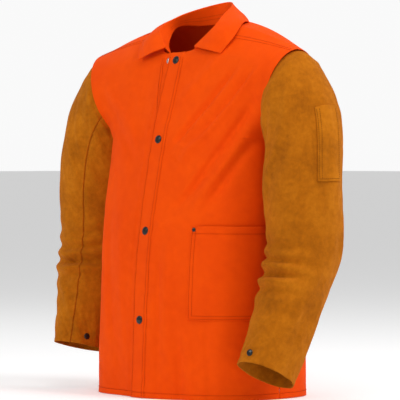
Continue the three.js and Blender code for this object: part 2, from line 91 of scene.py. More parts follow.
area_light("key", 100, 48, 3.0, 0.8, 40)
area_light("front", -10, 30, 3.2, 1.2, 26)
area_light("neck", 42, 60, 2.6, 0.9, 12)
area_light("back_left", 160, 40, 3.2, 1.2, 16)
area_light("back_right", 265, 30, 3.2, 1.8, 8)

world = bpy.data.worlds.new("studio")
bpy.context.scene.world = world
world.use_nodes = True
sky = world.node_tree
heading = sky.nodes.new("ShaderNodeTexCoord").outputs["Generated"]
across = sky.nodes.new("ShaderNodeVectorMath")
across.operation = "DOT_PRODUCT"
sky.links.new(heading, across.inputs[0])
across.inputs[1].default_value = (-math.sin(math.radians(VIEW_TURN)), math.cos(math.radians(VIEW_TURN)), 0)
share = sky.nodes.new("ShaderNodeMapRange")
share.inputs["From Min"].default_value = 0.45
share.inputs["From Max"].default_value = 0.9
share.inputs["To Min"].default_value = 0.34
share.inputs["To Max"].default_value = 0.95
sky.links.new(across.outputs["Value"], share.inputs["Value"])
sky.links.new(share.outputs["Result"], sky.nodes["Background"].inputs["Strength"])
sky.nodes["Background"].inputs["Color"].default_value = (1, 1, 1, 1)


def plain_material(name, colour, glow):
    material = bpy.data.materials.new(name)
    material.use_nodes = True
    shader = material.node_tree.nodes["Principled BSDF"]
    shader.inputs["Base Color"].default_value = (*colour, 1)
    shader.inputs["Roughness"].default_value = 0.9
    shader.inputs["Emission Color"].default_value = (1, 1, 1, 1)
    shader.inputs["Emission Strength"].default_value = glow
    return material


def add_stage():
    """A wide, flat, pale floor a millimetre below the hem."""
    reach, size, drop = 30.0, 60.0, 0.001
    floor_mesh = bpy.data.meshes.new("floor")
    corners = [(-size, -reach, 0), (size, -reach, 0), (size, size, 0), (-size, size, 0)]
    floor_mesh.from_pydata(corners, [], [(0, 1, 2, 3)])
    floor = new_object("floor", floor_mesh)
    floor.location.z = -drop
    floor_mesh.materials.append(plain_material("pale_floor", (0.86, 0.86, 0.86), 0.25))


add_stage()

# ---- curves and noise ---------------------------------------------------------------------------


def smooth(t):
    t = np.clip(t, 0, 1)
    return t * t * (3 - 2 * t)


def mix(a, b, t):
    return a + (b - a) * t


def catmull(points):
    """The curve through the points, as a function of an array of shares from 0 to 1."""
    p = np.array(points, float) * MM
    p = np.vstack([2 * p[0] - p[1], p, 2 * p[-1] - p[-2]])
    spans = len(p) - 3

    def at(t):
        t = np.clip(np.asarray(t, float), 0, 1) * spans
        i = np.minimum(t.astype(int), spans - 1)
        f = (t - i)[..., None]
        a, b, c, d = p[i], p[i + 1], p[i + 2], p[i + 3]
        square, cube = 2 * a - 5 * b + 4 * c - d, 3 * b - a - 3 * c + d
        return 0.5 * (2 * b + (c - a) * f + square * f**2 + cube * f**3)

    return at


def profile(points):
    """A depth as a function of height."""
    line = catmull([(z, depth, 0) for z, depth in points])(np.linspace(0, 1, 400))
    return lambda z: np.interp(z, line[:, 0], line[:, 1])


NOISE_SIZE = 64
NOISE = np.random.default_rng(11).uniform(-1, 1, (NOISE_SIZE, NOISE_SIZE))


def noise(x, y, seed=0):
    """Smooth noise from -1 to 1 over a plane, one lump for each unit."""
    x, y = np.asarray(x) + 7.3 * seed, np.asarray(y) + 3.1 * seed
    i, j = np.floor(x).astype(int), np.floor(y).astype(int)
    fx, fy = smooth(x - i), smooth(y - j)

    def corner(a, b):
        return NOISE[(i + a) % NOISE_SIZE, (j + b) % NOISE_SIZE]

    return mix(mix(corner(0, 0), corner(1, 0), fx), mix(corner(0, 1), corner(1, 1), fx), fy)


def ridge(x, z, start, end, width, height):
    """A soft fold along the line from start to end, in metres, fading towards its ends."""
    a, b = np.array(start) * MM, np.array(end) * MM
    d = b - a
    length = np.hypot(*d)
    t = ((x - a[0]) * d[0] + (z - a[1]) * d[1]) / length**2
    off = ((x - a[0]) * d[1] - (z - a[1]) * d[0]) / length
    fade = smooth((t + 0.1) / 0.35) * smooth((1.1 - t) / 0.35)
    return height * MM * fade * np.exp(-((off / (width * MM)) ** 2))


# ---- the body's surface, as in the CAD model ----------------------------------------------------
HALF_WIDTH, UNDERARM_Z, FRONT_NECK_Z = 0.215, 0.525, 0.700
SHOULDER_NECK, SHOULDER_TIP = (80, -12, 757), (281, -8, 703)
BACK_NECK_Z = 772
LAP, UNDERLAP, NECK_UNDERLAP = 0.025, 0.017, -0.011
STUD_HEIGHTS = (0.686, 0.523, 0.337, 0.157)
STUD_INSET = 0.021
OPEN_STUD_X = -0.032
LAP_STEP = 0.0065
UNDERARM_V = 0.66
BODY_ROW_Z = UNDERARM_Z / UNDERARM_V
FRONT_NECK_V = FRONT_NECK_Z / BODY_ROW_Z
BACK_NECK_V = 0.93
ARMHOLE_RISE = (SHOULDER_TIP[2] * MM - UNDERARM_Z) / 2
ARMHOLE_DEPTH = 0.072
CLOTH = 0.0012
SUEDE = 0.0016
CORNER_POWER = 2.6  # how square the body's section is: 2 is an ellipse

front_depth = profile([(0, 177), (223, 170), (348, 156), (523, 123), (601, 101), (700, 66)])
back_depth = profile([(0, 172), (200, 165), (348, 155), (523, 138), (640, 114), (772, 76)])
front_neckline = catmull([(-25, -66, 700), (30, -62, 704), (62, -42, 728), SHOULDER_NECK])
back_neckline = catmull([(0, 76, BACK_NECK_Z), (38, 68, 770), (66, 38, 765), SHOULDER_NECK])


def triple(x, y, z):
    return np.stack(np.broadcast_arrays(x, y, z), -1)


def rounded_corner(u):
    angle = math.pi / 2 * (1 - u)
    c, s = np.abs(np.cos(angle)), np.abs(np.sin(angle))
    reach = (c**CORNER_POWER + s**CORNER_POWER) ** (-1 / CORNER_POWER)
    return c * reach, 1 - s * reach


def side_edge(v, sign):
    turn = math.pi * (np.clip((v - UNDERARM_V) / (1 - UNDERARM_V), 0, 1) - 0.5)
    z = UNDERARM_Z + ARMHOLE_RISE * (1 + np.sin(turn))
    x = mix(HALF_WIDTH, SHOULDER_TIP[0] * MM, (z - UNDERARM_Z) / (2 * ARMHOLE_RISE))
    y = sign * ARMHOLE_DEPTH * np.cos(turn) + SHOULDER_TIP[1] * MM * smooth((turn + 0.5) / 2)
    low = v <= UNDERARM_V
    return triple(np.where(low, HALF_WIDTH, x), np.where(low, 0, y), np.where(low, v * BODY_ROW_Z, z))


def body_row(middle, side, u, v):
    flat = 1 - smooth((v - UNDERARM_V) / (1 - UNDERARM_V))
    across, back = rounded_corner(u)
    u = np.maximum(u, 0)
    x = mix(middle[..., 0], side[..., 0], mix(u, across, flat))
    y = mix(middle[..., 1], side[..., 1], mix(u, back, flat))
    return triple(x, y, mix(middle[..., 2], side[..., 2], u**1.5))


def front_surface(u, v):
    neck = (v > FRONT_NECK_V)[..., None]
    z = v * BODY_ROW_Z
    edge = triple(-LAP, -front_depth(z), z)
    edge = np.where(neck, front_neckline((v - FRONT_NECK_V) / (1 - FRONT_NECK_V)), edge)
    return body_row(edge, side_edge(v, -1), np.clip(u, 0, 1), v)


def back_surface(u, v):
    neck = (v > BACK_NECK_V)[..., None]
    z = mix(v * BODY_ROW_Z, v / BACK_NECK_V * BACK_NECK_Z * MM, smooth((v - 0.5) / (BACK_NECK_V - 0.5)))
    edge = triple(0, back_depth(z), z)
    edge = np.where(neck, back_neckline((v - BACK_NECK_V) / (1 - BACK_NECK_V)), edge)
    point = body_row(edge, side_edge(v, 1), np.minimum(1, np.abs(u)), v)
    point[..., 0] *= np.where(u > 0, -1, 1)
    return point


def right_surface(u, v):
    """The right front before it is mirrored, with its edge a step behind the left front."""
    point = front_surface(u, v)
    z = v * BODY_ROW_Z
    edge = mix(UNDERLAP, NECK_UNDERLAP, smooth((z - STUD_HEIGHTS[1]) / (STUD_HEIGHTS[0] - STUD_HEIGHTS[1])))
    low = 1 - smooth((v - FRONT_NECK_V) / 0.1)
    point[..., 0] -= (edge - LAP) * (1 - smooth(np.clip(u, 0, 1) / 0.6)) * low
    point[..., 1] += LAP_STEP * (1 - smooth((np.clip(u, 0, 1) - 0.15) / 0.35))
    return point


def mirrored(surface):
    return lambda u, v: surface(-u, v) * np.array([-1, 1, 1])


right_front = mirrored(right_surface)


def reach_of(surface, x, v):
    """The share u along each row at which it reaches x."""
    low, high = np.zeros_like(v), np.ones_like(v)
    for _ in range(30):
        middle = (low + high) / 2
        short = surface(middle, v)[..., 0] < x
        low, high = np.where(short, middle, low), np.where(short, high, middle)
    return low


def normal_of(surface, u, v, step=1e-3):
    across = surface(u + step, v) - surface(u - step, v)
    up = surface(u, v + step) - surface(u, v - step)
    n = np.cross(across, up)
    return n / np.maximum(np.linalg.norm(n, axis=-1, keepdims=True), 1e-12)


# ---- folds in the cloth -------------------------------------------------------------------------
PLACKET = 0.042
HEM_STITCH = 0.011


def seam_groove(distance, width=0.0022, depth=0.0005):
    """The dent of a row of stitches, with a low welt beside it."""
    dent = -depth * np.exp(-((distance / width) ** 2))
    return dent + 0.5 * depth * np.exp(-(((distance - 3 * width) / (2 * width)) ** 2))


def hem_relief(z):
    welt = 0.0006 * (1 - smooth((z - HEM_STITCH) / 0.004))
    return welt + seam_groove(z - HEM_STITCH)


def pucker(along, distance, reach=0.012, size=0.0007, seed=0):
    """Small cross-wrinkles beside a seam."""
    wave = noise(along / 0.011, np.zeros_like(along), seed) + 0.6 * noise(along / 0.024, along * 0 + 2, seed)
    return size * wave * np.exp(-((distance / reach) ** 2))


def shared_front_folds(p):
    """Folds that both fronts have in common where they overlap, by place across and up."""
    x, z = p[..., 0], p[..., 2]
    body = 0.0030 * noise(x / 0.10, z / 0.30, 1) + 0.0014 * noise(x / 0.045, z / 0.12, 2)
    fine = 0.00055 * noise(x / 0.016 + z / 0.05, z / 0.022, 3)
    hem_wave = 0.0045 * np.sin(x / 0.030 + 1.3) * smooth((0.30 - z) / 0.30)
    return (body + fine + hem_wave) * smooth((0.715 - z) / 0.12)


def left_front_relief(u, v, p):
    x, z = p[..., 0], p[..., 2]
    d = shared_front_folds(p)
    d += ridge(x, z, (228, 668), (60, 470), 12, 8.0)
    d -= ridge(x, z, (214, 662), (96, 520), 8, 8.5)
    d += ridge(x, z, (190, 668), (60, 520), 10, 4.0)
    d -= ridge(x, z, (170, 672), (30, 500), 8, 6.5)
    d -= ridge(x, z, (222, 610), (84, 400), 9, 8.0)
    d += ridge(x, z, (228, 580), (110, 380), 13, 7.5)
    d -= ridge(x, z, (214, 545), (140, 390), 9, 7.0)
    d += ridge(x, z, (120, 690), (30, 600), 12, 3.0)
    d -= ridge(x, z, (150, 470), (60, 380), 8, 3.0)
    d += ridge(x, z, (60, 330), (70, 40), 14, 4.5)
    d -= ridge(x, z, (38, 300), (46, 20), 10, 4.0)
    d += ridge(x, z, (106, 150), (125, -20), 14, 4.5)
    d -= ridge(x, z, (92, 130), (98, -20), 9, 3.5)
    d -= ridge(x, z, (150, 150), (160, -20), 10, 3.0)
    d += ridge(x, z, (24, 520), (90, 500), 7, 2.2)
    d -= ridge(x, z, (24, 500), (80, 470), 6, 2.0)
    d += ridge(x, z, (20, 345), (80, 360), 8, 2.0)
    stitch = x - (PLACKET - LAP)
    d += seam_groove(-stitch, 0.0018, 0.0010) + pucker(z, stitch, 0.014, 0.0014, seed=5)
    edge = x + LAP - 0.003
    d += seam_groove(-edge, 0.0014, 0.0006) + pucker(z, edge, 0.008, 0.0007, seed=12)
    d += 0.0005 * (1 - smooth(stitch / 0.003))
    d += hem_relief(z)
    return d


def right_front_relief(u, v, p):
    x, z = p[..., 0], p[..., 2]
    d = shared_front_folds(p)
    d += ridge(-x, z, (215, 640), (70, 520), 16, 4.5)
    d -= ridge(-x, z, (205, 600), (60, 470), 12, 3.0)
    d += ridge(-x, z, (180, 470), (120, 120), 18, 4.0)
    d -= ridge(-x, z, (140, 420), (100, 90), 14, 2.6)
    d += ridge(-x, z, (90, 360), (60, 60), 14, 2.4)
    stitch = -x - PLACKET
    d += seam_groove(stitch, 0.0018, 0.0009) + pucker(z, stitch, 0.014, 0.0012, seed=6)
    d += hem_relief(z)
    return d


def back_relief(u, v, p):
    x, z = p[..., 0], p[..., 2]
    d = 0.0050 * noise(x / 0.10, z / 0.34, 7) + 0.0022 * noise(x / 0.05, z / 0.13, 8)
    d += 0.0005 * noise(x / 0.018, z / 0.024, 9)
    d += 0.0050 * np.sin(x / 0.034 + 0.7) * smooth((0.34 - z) / 0.34)
    for side in (1, -1):
        d += ridge(side * x, z, (225, 640), (50, 500), 13, 6.0)
        d -= ridge(side * x, z, (220, 615), (70, 450), 9, 5.0)
        d += ridge(side * x, z, (222, 570), (90, 370), 13, 5.5)
        d -= ridge(side * x, z, (215, 540), (120, 340), 9, 4.5)
    d += ridge(x, z, (-150, 330), (-110, -20), 12, 4.0) - ridge(x, z, (60, 300), (50, -20), 11, 4.0)
    d = d * smooth((0.76 - z) / 0.10)
    return d + hem_relief(z)


def skin_of(surface, relief, offset=0.0):
    """The surface with its folds, moved out by offset."""

    def skin(u, v):
        p = surface(u, v)
        return p + normal_of(surface, u, v) * (relief(u, v, p) + offset)[..., None]

    return skin


# ---- meshes -------------------------------------------------------------------------------------


def mesh_object(name, points, faces, material, uvs=None, smooth_faces=True):
    mesh = bpy.data.meshes.new(name)
    mesh.from_pydata(points.reshape(-1, 3).tolist(), [], faces)
    if uvs is not None:
        layer = mesh.uv_layers.new(name="cloth")
        loops = np.zeros(len(mesh.loops), np.int32)
        mesh.loops.foreach_get("vertex_index", loops)
        layer.data.foreach_set("uv", uvs.reshape(-1, 2)[loops].astype(np.float32).ravel())
    mesh.polygons.foreach_set("use_smooth", np.full(len(mesh.polygons), smooth_faces))
    mesh.materials.append(material)
    mesh.update()
    return new_object(name, mesh)


def cloth_grid(u0, u1, v0, v1, columns, rows):
    v = np.linspace(v0, v1, rows + 1)[:, None] * np.ones((1, columns + 1))
    line = v[:, :1]
    low = u0(line) if callable(u0) else np.full_like(line, u0)
    high = u1(line) if callable(u1) else np.full_like(line, u1)
    u = mix(low, high, np.linspace(0, 1, columns + 1)[None, :])
    return u, v


MIDDLE = 1e-9  # keeps the two halves of a parted sheet on their own sides


def parted_grid(u0, u1, v0, v1, columns, rows, parting):
    """A grid whose middle column is doubled, so that the sheet can part above the row at `parting`."""
    half = columns // 2
    across = np.concatenate([np.linspace(u0, -MIDDLE, half + 1), np.linspace(MIDDLE, u1, half + 1)])
    below = int(rows * (parting - v0) / (v1 - v0))
    low_levels, high_levels = np.linspace(v0, parting, below + 1), np.linspace(parting, v1, rows - below + 1)
    levels = np.concatenate([low_levels, high_levels[1:]])
    return np.ones((rows + 1, 1)) * across, levels[:, None] * np.ones((1, 2 * half + 2))


def cloth(name, skin, us, vs, size, thickness, material, level_hem=False, parting=None):
    """A closed sheet of cloth over a patch of a skin, with UVs in metres across and up the cloth.

    Above the share `parting` of the way up, the sheet is open along its middle.
    """
    columns, rows = size
    if parting is None:
        u, v = cloth_grid(*us, *vs, columns, rows)
    else:
        u, v = parted_grid(*us, *vs, columns, rows, parting)
        columns = u.shape[1] - 1
    outer = skin(u, v)
    normal = np.cross(np.gradient(outer, axis=1), np.gradient(outer, axis=0))
    normal /= np.maximum(np.linalg.norm(normal, axis=-1, keepdims=True), 1e-12)
    gap = columns // 2
    if parting is not None:
        first = int(np.argmax(v[:, 0] >= parting - MIDDLE))
        shared = normal[: first + 1, gap] + normal[: first + 1, gap + 1]
        shared /= np.linalg.norm(shared, axis=-1, keepdims=True)
        normal[: first + 1, gap] = normal[: first + 1, gap + 1] = shared
    inner = outer - normal * thickness
    if level_hem:
        outer[0, :, 2] = inner[0, :, 2] = np.maximum(outer[0, :, 2], 0.0)
    run = np.linalg.norm(np.diff(outer, axis=1), axis=-1).cumsum(1)
    across = np.hstack([np.zeros((rows + 1, 1)), run])
    across -= across[:, columns // 2][:, None]
    climb = np.linalg.norm(np.diff(outer[:, columns // 2], axis=0), axis=-1).cumsum()
    up = np.concatenate([[0], climb])[:, None] * np.ones((1, columns + 1))
    uv = np.stack([across, up], -1)
    count = (rows + 1) * (columns + 1)
    grid = np.arange(count).reshape(rows + 1, columns + 1)
    a, b, c, d = grid[:-1, :-1], grid[:-1, 1:], grid[1:, 1:], grid[1:, :-1]
    faces = np.stack([a, b, c, d], -1)
    if parting is not None:
        faces = np.delete(faces, gap, axis=1)
    faces = faces.reshape(-1, 4)
    faces = [*faces.tolist(), *(faces[:, ::-1] + count).tolist()]
    loop = [*grid[0, :], *grid[1:, -1], *grid[-1, -2::-1], *grid[-2:0:-1, 0]]
    rims = [(p, loop[(i + 1) % len(loop)]) for i, p in enumerate(loop)]
    if parting is not None:
        rims = [(p, q) for p, q in rims if {p % (columns + 1), q % (columns + 1)} != {gap, gap + 1}]
        rims += [(grid[j, gap], grid[j + 1, gap]) for j in range(first, rows)]
        rims += [(grid[j + 1, gap + 1], grid[j, gap + 1]) for j in range(first, rows)]
    faces += [(int(p), int(p + count), int(q + count), int(q)) for p, q in rims]
    sheet = mesh_object(name, np.concatenate([outer, inner]), faces, material, np.concatenate([uv, uv]))
    if parting is not None:
        joined = bmesh.new()
        joined.from_mesh(sheet.data)
        bmesh.ops.remove_doubles(joined, verts=joined.verts, dist=1e-6)
        joined.to_mesh(sheet.data)
        joined.free()
    return sheet


STITCH, STITCH_GAP, THREAD = 0.0030, 0.0014, 0.00055


def stitch_row(skin, u, v, lift=0.0002):
    """Stitches along a line on a skin: (points, faces) of small rods that dip at their ends."""
    fine_u, fine_v = (np.interp(np.linspace(0, 1, 1500), np.linspace(0, 1, len(a)), a) for a in (u, v))
    line = skin(fine_u[None, :], fine_v[None, :])[0]
    normal = normal_of(skin, fine_u[None, :], fine_v[None, :], 2e-3)[0]
    run = np.concatenate([[0], np.linalg.norm(np.diff(line, axis=0), axis=-1).cumsum()])

    def at(place, table):
        return np.array([np.interp(place, run, table[:, k]) for k in range(3)])

    points, faces = [], []
    shares = ((0.0, 0.35, -0.25), (0.2, 1.0, 0.7), (0.8, 1.0, 0.7), (1.0, 0.35, -0.25))
    for start in np.arange(0, run[-1] - STITCH, STITCH + STITCH_GAP):
        base = len(points)
        heading = at(start + STITCH, line) - at(start, line)
        heading /= max(np.linalg.norm(heading), 1e-9)
        up = at(start, normal)
        side = np.cross(heading, up)
        for share, girth, rise in shares:
            middle = at(start + share * STITCH, line) + up * (THREAD * rise + lift)
            for k in range(5):
                turn = 2 * math.pi * k / 5
                ring = side * math.cos(turn) + up * math.sin(turn) * 0.7
                points.append(middle + ring * THREAD * girth)
        for r in range(3):
            for k in range(5):
                p, q = base + r * 5 + k, base + r * 5 + (k + 1) % 5
                faces.append((p, q, q + 5, p + 5))
        faces.append(tuple(base + k for k in reversed(range(5))))
        faces.append(tuple(base + 15 + k for k in range(5)))
    return np.array(points), faces


def stitching(name, rows, material):
    points, faces, base = [], [], 0
    for row_points, row_faces in rows:
        points.append(row_points)
        faces += [tuple(i + base for i in face) for face in row_faces]
        base += len(row_points)
    return mesh_object(name, np.concatenate(points), faces, material)


def turned(name, outline, place, axis, material, sides=40):
    """A piece turned about its axis from (radius, height) pairs in millimetres."""
    axis = np.array(axis) / np.linalg.norm(axis)
    side = np.cross(axis, [0.3, 0.2, 0.9])
    side /= np.linalg.norm(side)
    other = np.cross(axis, side)
    turn = np.linspace(0, 2 * math.pi, sides, endpoint=False)
    ring = np.cos(turn)[:, None] * side + np.sin(turn)[:, None] * other
    points = np.concatenate([np.array(place) + (ring * r + axis * h) * MM for r, h in outline])
    faces = []
    for j in range(len(outline) - 1):
        for k in range(sides):
            p, q = j * sides + k, j * sides + (k + 1) % sides
            faces.append((p, q, q + sides, p + sides))
    faces.append(tuple(reversed(range(sides))))
    faces.append(tuple((len(outline) - 1) * sides + k for k in range(sides)))
    return mesh_object(name, points, faces, material)


# ---- materials ----------------------------------------------------------------------------------


class Nodes:
    """Adds nodes to a material by short calls."""

    def __init__(self, name):
        self.material = bpy.data.materials.new(name)
        self.material.use_nodes = True
        self.tree = self.material.node_tree
        self.shader = self.tree.nodes["Principled BSDF"]

    def add(self, kind, **inputs):
        node = self.tree.nodes.new(kind)
        for key, value in inputs.items():
            self.set(node.inputs[key.replace("_", " ")], value)
        return node

    def set(self, socket, value):
        if hasattr(value, "is_output"):
            self.tree.links.new(value, socket)
        else:
            socket.default_value = value

    def noise(self, vector, scale, detail=3.0, roughness=0.5):
        node = self.add("ShaderNodeTexNoise", Vector=vector, Scale=scale, Detail=detail, Roughness=roughness)
        return node.outputs["Fac"]

    def ramp(self, factor, stops):
        node = self.add("ShaderNodeValToRGB")
        self.set(node.inputs["Fac"], factor)
        elements = node.color_ramp.elements
        while len(elements) < len(stops):
            elements.new(0.5)
        for element, (position, colour) in zip(elements, stops):
            element.position = position
            element.color = (*colour, 1)
        return node.outputs["Color"]

    def maths(self, operation, a, b=0.0):
        node = self.tree.nodes.new("ShaderNodeMath")
        node.operation = operation
        self.set(node.inputs[0], a)
        self.set(node.inputs[1], b)
        return node.outputs[0]

    def bump(self, height, distance, strength=1.0, onto=None):
        node = self.add("ShaderNodeBump", Strength=strength, Distance=distance, Height=height)
        if onto is not None:
            self.set(node.inputs["Normal"], onto)
        return node.outputs["Normal"]


def cotton(name, low, high, thread_mm=0.9):
    """Sateen-woven cotton: diagonal rib, slubs, and slow changes of shade."""
    n = Nodes(name)
    place = n.add("ShaderNodeTexCoord").outputs["Object"]
    cloth_uv = n.add("ShaderNodeTexCoord").outputs["UV"]
    turn = n.add("ShaderNodeMapping", Vector=cloth_uv)
    turn.inputs["Rotation"].default_value = (0, 0, math.radians(58))
    rib = n.add("ShaderNodeTexWave", Vector=turn.outputs["Vector"], Scale=320 / thread_mm, Distortion=0.6)
    rib.inputs["Detail"].default_value = 1.0
    slub = n.noise(place, 700, 2)
    cloud = n.noise(place, 9, 4, 0.6)
    crease = n.noise(place, 60, 3)
    shade = n.maths("ADD", n.maths("MULTIPLY", cloud, 0.65), n.maths("MULTIPLY", crease, 0.35))
    n.set(n.shader.inputs["Base Color"], n.ramp(shade, [(0.3, low), (0.7, high)]))
    soft = n.bump(crease, 0.0009, 0.35)
    weave = n.bump(n.maths("ADD", rib.outputs["Fac"], slub), 0.00018, 0.5, soft)
    n.set(n.shader.inputs["Normal"], weave)
    n.set(n.shader.inputs["Roughness"], n.maths("ADD", n.maths("MULTIPLY", slub, 0.15), 0.72))
    n.shader.inputs["Sheen Weight"].default_value = 0.08
    n.shader.inputs["Sheen Roughness"].default_value = 0.5
    n.shader.inputs["Sheen Tint"].default_value = (1.0, 0.2, 0.02, 1)
    n.shader.inputs["Specular IOR Level"].default_value = 0.08
    return n.material


def suede(name, low, middle, high):
    """Split leather: a felted nap with cloudy patches where it has been brushed."""
    n = Nodes(name)
    place = n.add("ShaderNodeTexCoord").outputs["Object"]
    cloud = n.noise(place, 14, 6, 0.65)
    mottle = n.noise(place, 95, 4, 0.7)
    nap = n.noise(place, 900, 3, 0.7)
    shade = n.maths("ADD", n.maths("MULTIPLY", cloud, 0.6), n.maths("MULTIPLY", mottle, 0.4))
    n.set(n.shader.inputs["Base Color"], n.ramp(shade, [(0.34, low), (0.5, middle), (0.66, high)]))
    soft = n.bump(mottle, 0.0016, 0.5)
    n.set(n.shader.inputs["Normal"], n.bump(nap, 0.0006, 0.6, soft))
    n.shader.inputs["Roughness"].default_value = 0.95
    n.shader.inputs["Sheen Weight"].default_value = 0.2
    n.shader.inputs["Sheen Roughness"].default_value = 0.6
    n.shader.inputs["Sheen Tint"].default_value = (1.0, 0.42, 0.08, 1)
    n.shader.inputs["Specular IOR Level"].default_value = 0.06
    return n.material


def metal(name, colour, roughness, metallic, wear):
    n = Nodes(name)
    place = n.add("ShaderNodeTexCoord").outputs["Object"]
    scuff = n.noise(place, 420, 4, 0.7)
    worn = tuple(min(1, c + wear) for c in colour)
    n.set(n.shader.inputs["Base Color"], n.ramp(scuff, [(0.45, colour), (0.75, worn)]))
    n.set(n.shader.inputs["Roughness"], n.maths("ADD", n.maths("MULTIPLY", scuff, 0.2), roughness))
    n.shader.inputs["Metallic"].default_value = metallic
    return n.material


ORANGE = cotton("orange_cotton", (0.84, 0.062, 0.0), (0.95, 0.086, 0.0))
THREAD_ORANGE = cotton("orange_thread", (0.42, 0.026, 0.0), (0.55, 0.04, 0.0), 0.4)
TAN = suede("tan_suede", (0.30, 0.078, 0.002), (0.44, 0.122, 0.003), (0.56, 0.17, 0.006))
TAN_PATCH = suede("tan_patch_suede", (0.36, 0.10, 0.003), (0.50, 0.145, 0.004), (0.60, 0.19, 0.008))
THREAD_TAN = suede("tan_thread", (0.16, 0.04, 0.002), (0.22, 0.06, 0.003), (0.30, 0.09, 0.006))
BLACK = metal("black_enamel", (0.008, 0.009, 0.009), 0.12, 0.2, 0.03)
BRIGHT = metal("bright_plate", (0.72, 0.74, 0.75), 0.18, 1.0, 0.1)
BLACK_FINISH, BRIGHT_FINISH = (BLACK, "blackened_metal"), (BRIGHT, "bright_steel")

# ---- the armhole's directions, and how each piece is placed: riding the torso or baked in place ---
armhole_up = np.array([SHOULDER_TIP[0] * MM - HALF_WIDTH, 0, SHOULDER_TIP[2] * MM - UNDERARM_Z])
armhole_up /= np.linalg.norm(armhole_up)
armhole_out = np.array([armhole_up[2], 0, -armhole_up[0]])


def ride_torso(piece):
    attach(piece, "torso")


def bend_left_front(piece):
    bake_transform(piece)


def bend_sleeve(piece, side):
    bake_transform(piece)


# ---- fronts and back ----------------------------------------------------------------------------
SIDE_END = 0.999
TOP_END = 1.0
left_skin = skin_of(front_surface, left_front_relief)
right_skin = skin_of(right_front, right_front_relief)
back_skin = skin_of(back_surface, back_relief)

left = cloth("left_front", left_skin, (0, SIDE_END), (0, TOP_END), (120, 300), CLOTH, ORANGE, True)
right = cloth("right_front", right_skin, (-SIDE_END, 0), (0, TOP_END), (110, 300), CLOTH, ORANGE, True)
back_span = (-SIDE_END, SIDE_END)
back = cloth("back", back_skin, back_span, (0, TOP_END), (220, 300), CLOTH, ORANGE, True, BACK_NECK_V)
FACING_DROP = CLOTH + 0.0004
FACING_CLOTH = CLOTH * 0.8
FACING_INSET, FACING_GRID = 0.003, (14, 200)
left_inside = skin_of(front_surface, left_front_relief, -FACING_DROP)
right_inside = skin_of(right_front, right_front_relief, -FACING_DROP)


def left_width(v):
    """Where the left facing ends along each row."""
    return reach_of(front_surface, PLACKET - LAP, v)


def right_width(v):
    """Where the right facing ends along each row."""
    return -reach_of(right_surface, right_surface(v * 0, v)[..., 0] + PLACKET, v)


facing_rows = (0.004, FRONT_NECK_V - 0.012)
left_span, right_span = (FACING_INSET, left_width), (right_width, -FACING_INSET)
left_facing = cloth("left_facing", left_inside, left_span, facing_rows, FACING_GRID, FACING_CLOTH, ORANGE)
right_facing = cloth("right_facing", right_inside, right_span, facing_rows, FACING_GRID, FACING_CLOTH, ORANGE)
for piece, nodes in (
    (left, ("left_front_panel", "left_front_edge")),
    (left_facing, ("left_front_facing",)),
    (right, ("right_front_panel",)),
    (right_facing, ("right_front_facing",)),
    (back, ("back_panel",)),
):
    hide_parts(*nodes)
for piece in (left, left_facing):
    bend_left_front(piece)
for piece in (right, right_facing, back):
    ride_torso(piece)

# ---- collar -------------------------------------------------------------------------------------
STAND_HEIGHT, FALL_DEPTH = 36, 66


def round_the_neck(points):
    """The curve through the points and their mirror images, from the right front end (-1) to the left (1)."""
    line = catmull([(-x, y, z) for x, y, z in points[:0:-1]] + points)
    return lambda t: line((t + 1) / 2)


fold_z = BACK_NECK_Z + STAND_HEIGHT
rim_z = fold_z - FALL_DEPTH
collar_base = round_the_neck([(0, 73, 774), (50, 56, 770), (75, 4, 767), (62, -36, 734), (36, -57, 710)])
collar_fold = round_the_neck(
    [(0, 78, fold_z), (39, 46, fold_z - 11), (65, -4, 777), (76, -44, 750), (42, -64, 712)]
)
collar_rim = round_the_neck([(0, 100, rim_z), (66, 78, 758), (114, 8, 763), (132, -42, 730), (118, -66, 697)])
STAND_SHARE, ROLL_SHARE = 0.34, 0.08
ROLL_RADIUS = 0.0016


def collar_skin(u, w):
    """The collar's face towards the neck, then over the fold.

    u runs from the wearer's left end (-1) to the right end (1), and w from the neck seam to the rim.
    """
    t = -u
    up = np.clip(w / STAND_SHARE, 0, 1)
    down = np.clip((w - STAND_SHARE - ROLL_SHARE) / (1 - STAND_SHARE - ROLL_SHARE), 0, 1)
    roll = np.clip((w - STAND_SHARE) / ROLL_SHARE, 0, 1)
    base, fold, rim = collar_base(t), collar_fold(t), collar_rim(t)
    base = base * np.array([0.975, 0.975, 1]) - triple(0, 0, 0.010)
    lifted = smooth((-t - 0.6) / 0.4)
    rim = rim + triple(0.010 * lifted, -0.012 * lifted, -0.008 * lifted)
    away = triple(fold[..., 0], fold[..., 1], 0)
    away /= np.maximum(np.linalg.norm(away, axis=-1, keepdims=True), 1e-9)
    bend = fold + away * 2 * ROLL_RADIUS
    turn = (math.pi * roll)[..., None]
    over = fold + away * ROLL_RADIUS * (1 - np.cos(turn)) + triple(0, 0, ROLL_RADIUS) * np.sin(turn)
    fall = mix(bend, rim, down[..., None])
    belly = 0.009 * np.sin(math.pi * np.minimum(1, down * 1.15)) * (1 - 0.45 * np.abs(t))
    fall = fall + away * belly[..., None]
    wave = 0.0016 * noise(t * 7, down * 3, 15) * down + 0.0006 * noise(t * 30, down * 9, 16) * down
    fall = fall + away * wave[..., None]
    w3 = w[..., None]
    rising = mix(base, fold, up[..., None])
    return np.where(w3 < STAND_SHARE, rising, np.where(w3 < STAND_SHARE + ROLL_SHARE, over, fall))


def collar_outside(u, w):
    return collar_skin(-u, 1 - w)


def stand_inside(u, w):
    """The stand's face towards the neck, seen from inside, w from the neck seam up."""
    p = collar_skin(u, w)
    return p - normal_of(collar_skin, u, w) * 0.0004


collar = cloth("collar", collar_outside, (-1, 1), (0, 1), (200, 72), -CLOTH * 1.5, ORANGE)
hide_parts("collar_stand", "collar_leaf")
ride_torso(collar)

